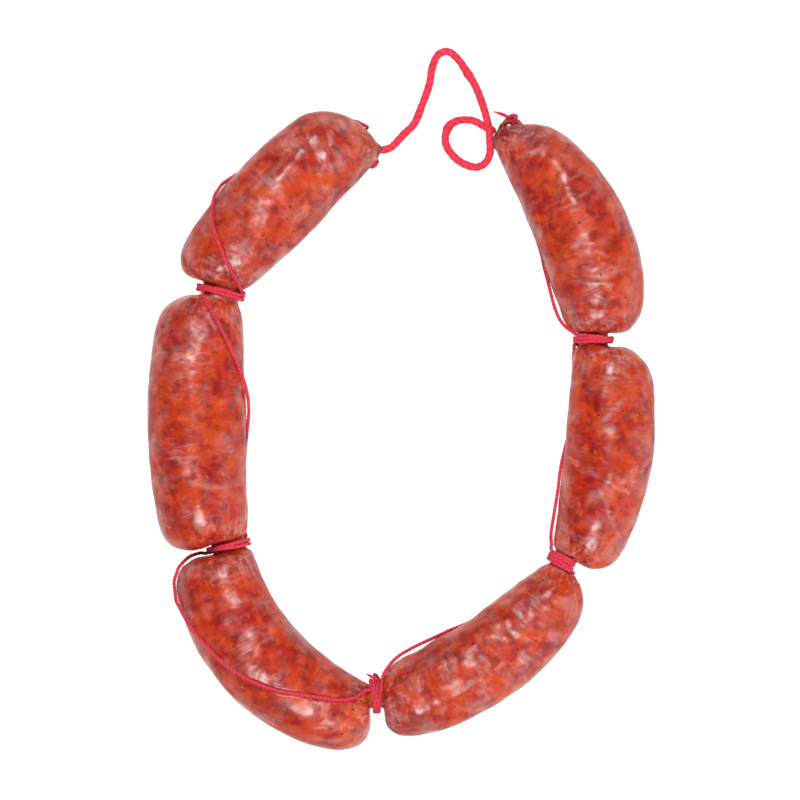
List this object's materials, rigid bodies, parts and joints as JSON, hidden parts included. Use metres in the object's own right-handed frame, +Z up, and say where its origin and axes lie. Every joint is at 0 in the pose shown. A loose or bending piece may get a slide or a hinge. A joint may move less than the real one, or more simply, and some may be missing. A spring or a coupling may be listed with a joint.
{
  "type": "string of sausage links",
  "caption": "Oval string of fresh paprika sausage links in one pinched casing, tied at each waist with thin red thread and ending in a thicker hanging twine.",
  "frame": {"origin": "middle of the oval of links, on the surface they lie on", "axes": "+Z up from the surface, +Y along the oval from its closed end to the end with the twine, +X across it"},
  "size_m": [0.1931, 0.2685, 0.0345],
  "materials": {
    "casing": "moist natural casing over coarse paprika meat, softly glossy",
    "thread": "thin red cotton thread",
    "twine": "soft twisted red cotton twine"
  },
  "bodies": {
    "root": {"link_string": "casing", "thread_first": "thread", "thread_second": "thread", "twine": "twine"}
  },
  "joints": []
}
